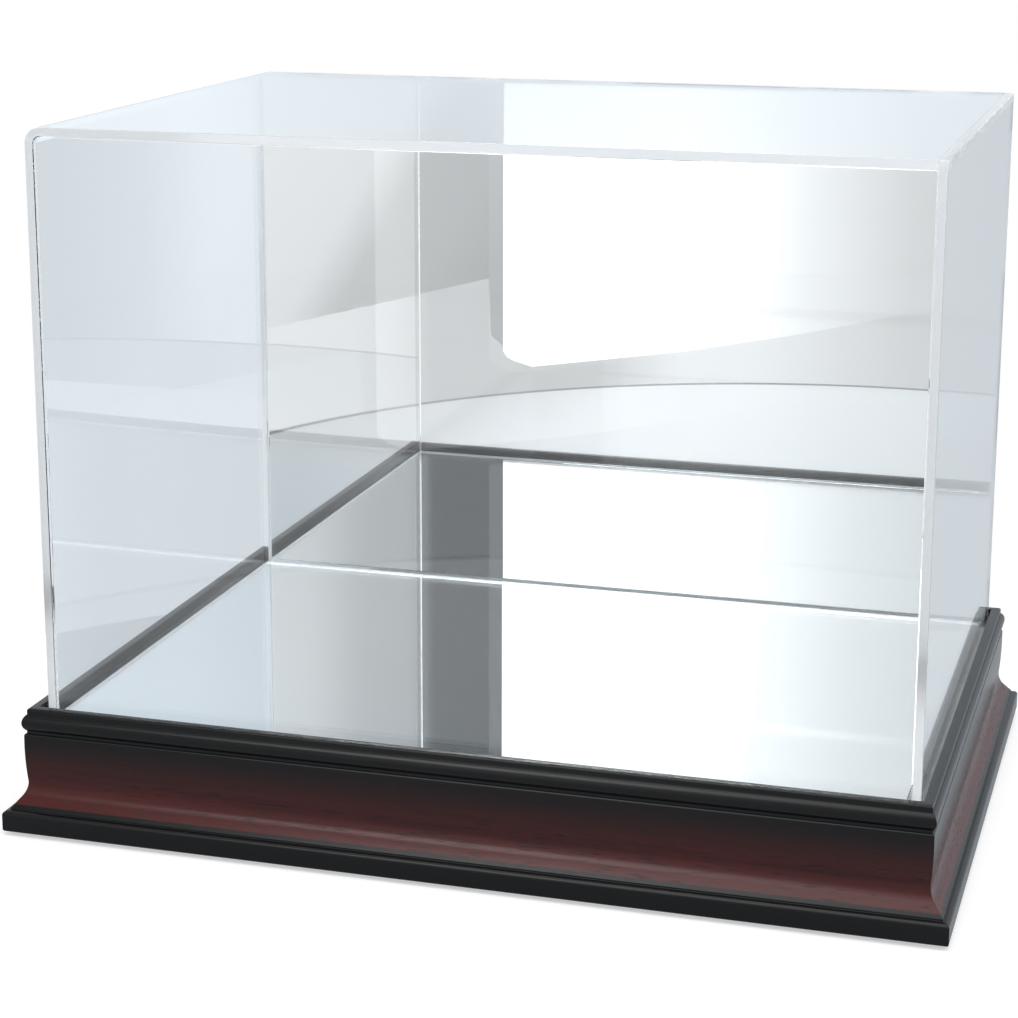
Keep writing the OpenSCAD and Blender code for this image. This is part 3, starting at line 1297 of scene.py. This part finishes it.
    def panel(self, node: str) -> None:
        """Builds the front or back panel.

        Args:
            node: the CAD node that it stands for.
        """
        low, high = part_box(node)
        foot = low.z + self.foot_gap
        outline = Outline(low.x, high.x, foot, high.z, self.bend_r - self.glue)
        axis = Vector((0.0, 1.0, 0.0))
        piece = chamfered(f"{node}_sheet", outline.rim, (low.y, high.y), axis, self.edge * 0.5)
        dress(piece, *self.finishes)
        paint_faces(piece, lambda middle, normal: self.panel_kind(foot, middle, normal))
        self.add_clear(piece, node)

    def panel_kind(self, foot: float, middle: Vector, normal: Vector) -> Face:
        """Tells how a face of the front or back panel is finished.

        Args:
            foot: the height of the panel's foot.
            middle: the middle of the face.
            normal: its normal.

        Returns:
            The finish.
        """
        if abs(normal.y) > SQUARE:
            return Face.POLISHED
        if middle.z < foot + self.foot_gap:
            return Face.CUT
        if abs(normal.y) < SLANTED:
            return Face.GLUED
        outside = abs(middle.y) > self.half_depth - self.edge
        return Face.SCRAPED if outside else Face.POLISHED


# Studio


def hide(piece: Object, *rays: str) -> None:
    """Hides a piece from kinds of rays: camera, diffuse or shadow."""
    for ray in rays:
        setattr(piece, f"visible_{ray}", False)


@dataclass(frozen=True)
class Glow(Finish):
    """A glow in shades of grey along a line, each given with its place on the line."""

    shades: tuple[Point, ...]
    along: Point
    tint: Colour

    def surface(self, graph: Graph) -> Value:
        """Builds the finish's shader.

        Args:
            graph: the material's graph.

        Returns:
            The shader.
        """
        brightest = max(shade for _, shade in self.shades)
        first, last = self.shades[0][0], self.shades[-1][0]
        reach = graph.dot(graph.place(), (self.along[0], 0.0, self.along[1]))
        stops = [
            ((at - first) / (last - first), tuple(shade / brightest * c for c in self.tint))
            for at, shade in self.shades
        ]
        share = (reach - first) * (1.0 / (last - first))
        tone = graph.node("ShaderNodeValToRGB", {"stops": stops}, {0: share})
        return graph.emission(tone, brightest)


@dataclass(frozen=True)
class Card:
    """A flat glowing card that only gloss and clear sheet show."""

    name: str
    plane_y: float
    corners: tuple[Point, ...]
    shades: tuple[Point, ...]
    along: Point = (1.0, 0.0)
    tint: Colour = (1.0, 1.0, 1.0)
    shift: Point = (-0.012, -0.005)

    def build(self) -> None:
        """Makes the card."""
        mesh = bpy.data.meshes.new(self.name)
        points = upright(self.corners, self.plane_y)
        mesh.from_pydata([tuple(p) for p in points], [], [tuple(range(len(points)))])
        card = linked(self.name, mesh)
        card.location = (self.shift[0], 0.0, self.shift[1])
        hide(card, "camera", "diffuse", "shadow")
        dress(card, Glow(f"{self.name}_glow", self.shades, self.along, self.tint).make())


# The backdrop's depth behind the case, and how far it runs to each side.
BACKDROP_Y = 1.9
BACKDROP_REACH = 3.0


def backdrop(name: str, foot: float, top: float, tint: Colour, shades: tuple[Point, ...]) -> Card:
    """A band of the backdrop behind the case, from its foot to its top."""
    corners = tuple(rectangle(-BACKDROP_REACH, foot, BACKDROP_REACH, top))
    return Card(name, BACKDROP_Y, corners, shades, tint=tint, shift=(0.0, 0.0))


CARDS = (
    Card(
        "softbox_lower",
        -1.9,
        (
            (-0.645, 0.35), (-0.645, -0.276), (-0.640, -0.284), (-0.632, -0.288), (-0.606, -0.295),
            (-0.511, -0.280), (-0.406, -0.263), (-0.253, -0.231), (-0.105, -0.194), (0.500, -0.060),
            (0.500, 0.350),
        ),
        (
            (-0.645, 1.60), (-0.40, 1.50), (-0.33, 1.30), (-0.25, 1.03), (-0.12, 0.77), (0.10, 0.66),
            (0.33, 0.77), (0.50, 1.10),
        ),
    ),
    Card(
        "softbox_upper",
        -1.9,
        ((-0.645, 1.0), (-0.645, 0.35), (1.6, 0.35), (1.6, 1.0)),
        (
            (-0.645, 2.00), (-0.40, 1.90), (-0.30, 1.30), (-0.18, 1.02), (-0.08, 0.88), (0.22, 1.04),
            (0.36, 1.00), (0.50, 0.60), (0.62, 0.38), (0.88, 0.28), (1.00, 0.60),
        ),
    ),
    Card(
        "softbox_top",
        -1.9,
        ((-1.25, 2.45), (-1.25, 1.1), (-0.645, 1.1), (-0.645, 1.0), (0.40, 1.0), (0.40, 2.45)),
        (
            (-1.25, 0.20), (-1.06, 0.80), (-0.97, 3.60), (-0.89, 7.60), (-0.60, 7.60), (-0.35, 4.80),
            (-0.15, 2.00), (0.40, 1.00),
        ),
    ),
    Card(
        "studio_dark",
        -1.9,
        ((-3.0, 3.0), (-3.0, 1.10), (-1.25, 1.10), (-1.25, 3.0)),
        ((-3.0, 0.20), (-1.25, 0.12)),
    ),
    Card(
        "softbox_stand",
        -1.905,
        ((-0.667, -0.165), (-0.663, -0.258), (-0.645, -0.272), (-0.60, -0.272), (-0.60, -0.165)),
        ((-0.667, 0.40), (-0.60, 0.36)),
    ),
    Card(
        "side_light",
        -1.89,
        ((0.36, 0.35), (0.36, -0.36), (0.78, -0.36), (0.78, 0.35)),
        ((0.36, 0.82), (0.48, 1.12), (0.70, 1.15), (0.78, 0.80)),
    ),
    Card(
        "studio_wall_right",
        -1.89,
        ((0.78, 0.35), (0.78, -0.90), (2.40, -0.90), (2.40, 0.35)),
        ((0.78, 0.76), (0.95, 0.58), (1.60, 0.50)),
    ),
    Card(
        "paper_sweep",
        -1.91,
        ((-3.0, -0.807), (-0.669, -0.184), (-0.50, -0.139), (1.8, -0.139), (1.8, -1.2), (-3.0, -1.2)),
        (
            (-1.0, 0.90), (-0.86, 0.86), (-0.79, 0.74), (-0.745, 0.62), (-0.60, 0.63), (-0.50, 0.66),
            (-0.41, 0.93), (-0.33, 0.94), (-0.25, 0.87), (-0.12, 0.73), (0.30, 0.68),
        ),
    ),
    Card(
        "studio_wall_low",
        -1.95,
        ((-3.0, 0.40), (-3.0, -0.90), (-0.55, -0.22), (-0.55, 0.40)),
        ((0.490, 0.40), (0.560, 0.46), (0.645, 0.48), (0.700, 0.78), (0.760, 0.83), (1.400, 0.86)),
        along=(-0.86, 0.51),
    ),
    Card(
        "studio_wall_high",
        -1.93,
        ((-3.0, 1.2), (-3.0, 0.40), (-0.55, 0.40), (-0.55, 1.2)),
        ((-1.10, 1.10), (-0.93, 0.90), (-0.86, 0.62), (-0.79, 0.50), (-0.752, 0.13), (-0.60, 0.12)),
    ),
    backdrop(
        "backdrop_low",
        -1.2,
        -0.30,
        (0.875, 0.940, 1.0),
        ((-1.10, 0.89), (-0.82, 0.90), (-0.66, 0.68), (-0.30, 0.68), (0.0, 0.64), (0.50, 0.70)),
    ),
    backdrop(
        "backdrop_middle",
        -0.30,
        0.10,
        (0.870, 0.938, 1.0),
        (
            (-1.15, 0.79), (-0.92, 0.88), (-0.80, 0.86), (-0.64, 0.68), (-0.30, 0.69), (0.0, 0.66),
            (0.50, 0.72),
        ),
    ),
    backdrop(
        "backdrop_high",
        0.10,
        1.10,
        (0.865, 0.935, 1.0),
        (
            (-1.20, 1.05), (-1.00, 1.02), (-0.86, 0.92), (-0.73, 0.88), (-0.62, 0.91), (-0.37, 0.99),
            (-0.18, 1.00), (0.05, 0.95), (0.60, 0.90),
        ),
    ),
)


@dataclass(frozen=True)
class TableWhite(Finish):
    """White to the camera, and to the mirrors the shades of a table under soft lights."""

    lit: Colour = (0.6, 0.6, 0.6)
    added_white: float = 0.5
    shades: tuple[tuple[float, Colour], ...] = (
        (0.10, (0.10, 0.11, 0.12)),
        (0.22, (0.10, 0.11, 0.12)),
        (0.31, (0.30, 0.32, 0.33)),
        (0.42, (0.31, 0.32, 0.33)),
        (0.50, (0.25, 0.27, 0.28)),
        (0.60, (0.16, 0.18, 0.19)),
        (0.70, (0.08, 0.09, 0.10)),
        (0.90, (0.02, 0.02, 0.02)),
    )
    shades_w: float = 0.8
    far_shade: Colour = (0.06, 0.11, 0.15)
    far_y: Point = (-0.32, -0.22)

    def surface(self, graph: Graph) -> Value:
        """Builds the finish's shader.

        Args:
            graph: the material's graph.

        Returns:
            The shader.
        """
        lit = graph.node("ShaderNodeBsdfDiffuse", {}, {0: as_colour(self.lit)})
        share = graph.along("X") * (1.0 / self.shades_w) + 0.5
        near = graph.node("ShaderNodeValToRGB", {"stops": self.shades}, {0: share})
        far = graph.along("Y").rise(*self.far_y)
        mirrored = graph.emission(graph.blend(far, near, self.far_shade), 1.0)
        white = graph.emission(WHITE, self.added_white)
        glow = graph.mix(graph.path("Is Camera Ray"), mirrored, white)
        glow = graph.mix(graph.background_rays(), graph.emission(BLACK, 0.0), glow)
        return graph.node("ShaderNodeAddShader", {}, {0: lit, 1: glow})


@dataclass(frozen=True)
class EdgingGrey(Finish):
    """The dull grey of the table's edging."""

    colour: Colour = (0.30, 0.30, 0.31)

    def surface(self, graph: Graph) -> Value:
        """The finish's shader."""
        return graph.node("ShaderNodeBsdfDiffuse", {}, {0: as_colour(self.colour)})


@dataclass
class Studio:
    """The table, the soft light, the cards that the mirrors show, and the camera."""

    table_r: float = 0.42
    table_at: Point = (0.046, -0.144)
    table_t: float = 8.0 * MM
    table_sides: int = 256
    edging_w: float = 6.0 * MM
    edging_t: float = 1.0 * MM
    edging_gap: float = 0.1 * MM
    edging_turns: tuple[float, float, int] = (195.0, 150.0, 96)
    plain_light: float = 0.75
    lamp_size: Point = (1.6, 1.2)
    lamp_power: float = 14.0
    lamp_at: tuple[float, float, float] = (0.3, -0.5, 1.6)
    lamp_aim: tuple[float, float, float] = (0.0, 0.0, 0.1)
    camera_at: tuple[float, float, float] = (0.26443, -0.96183, 0.38352)
    camera_tilt: float = 76.362
    camera_turn: float = 16.77
    sensor_w: float = 36.0
    lens: float = 89.09
    shift: Point = (0.0236, -0.0657)

    def build(self) -> None:
        """Sets up the world, table, cards, lamp and camera."""
        self.world()
        self.table()
        self.edging()
        for card in CARDS:
            card.build()
        self.lamp()
        self.camera()

    def world(self) -> None:
        """A white background with plain light from all round."""
        world = bpy.data.worlds.new("studio_white")
        world.use_nodes = True
        bpy.context.scene.world = world
        graph = Graph(world.node_tree)
        white, plain = (
            graph.node("ShaderNodeBackground", {}, {"Color": WHITE, "Strength": strength})
            for strength in (1.0, self.plain_light)
        )
        graph.finish(graph.mix(graph.background_rays(), plain, white))

    def round_table(self, radius: float, turn: float, z: float) -> Vector:
        """The point at a radius, an angle in radians and a height about the table's middle."""
        middle_x, middle_y = self.table_at
        return Vector((middle_x + radius * math.cos(turn), middle_y + radius * math.sin(turn), z))

    def table(self) -> None:
        """A round white table."""
        reach = self.table_r - self.edging_w
        turns = [2 * math.pi * k / self.table_sides for k in range(self.table_sides)]
        rings = [[self.round_table(reach, a, z) for a in turns] for z in (-self.table_t, 0.0)]
        top = loft("table_top", rings)
        dress(top, TableWhite("white_table").make())

    def edging(self) -> None:
        """The thin dark edging of the table's near side, which the camera doesn't show."""
        near, far = self.table_r - self.edging_w + self.edging_gap, self.table_r
        start, sweep, steps = self.edging_turns
        section = ((near, 0.0), (far, 0.0), (far, -self.edging_t), (near, -self.edging_t))
        turns = [math.radians(start + sweep * k / steps) for k in range(steps + 1)]
        rings = [[self.round_table(r, a, z) for r, z in section] for a in turns]
        edging = loft("table_edging", rings)
        hide(edging, "camera", "diffuse", "shadow")
        dress(edging, EdgingGrey("edging_grey").make())

    def lamp(self) -> None:
        """A large soft lamp overhead."""
        light = bpy.data.lights.new("overhead_softbox", "AREA")
        light.shape = "RECTANGLE"
        light.size, light.size_y = self.lamp_size
        light.energy = self.lamp_power
        lamp = linked("overhead_softbox", light)
        lamp.location = self.lamp_at
        aim = Vector(self.lamp_aim) - lamp.location
        lamp.rotation_euler = aim.to_track_quat("-Z", "Y").to_euler()
        hide(lamp, "camera")

    def camera(self) -> None:
        """A camera a little above the case, in front and to the right of its middle."""
        data = bpy.data.cameras.new("camera")
        data.sensor_width = self.sensor_w
        data.lens = self.lens
        data.shift_x, data.shift_y = self.shift
        camera = linked("camera", data)
        camera.location = self.camera_at
        camera.rotation_euler = (math.radians(self.camera_tilt), 0.0, math.radians(self.camera_turn))
        bpy.context.scene.camera = camera


def set_render_limits() -> None:
    """Gives light enough bounces for two clear sheets and two mirrors."""
    scene = bpy.context.scene
    scene.view_settings.view_transform = "Standard"
    scene.cycles.max_bounces = 32
    scene.cycles.glossy_bounces = 24
    scene.cycles.transmission_bounces = 28
    scene.cycles.transparent_max_bounces = 24


def main() -> None:
    """Builds the studio and the case, sub-assembly by sub-assembly."""
    logging.basicConfig(level=logging.INFO, format="%(message)s")
    set_render_limits()
    Studio().build()
    MouldedBase("base").build()
    MirroredFloor("base").build()
    ClearCover("cover").build()
    MirroredBack("cover").build()


if __name__ == "__main__":
    main()
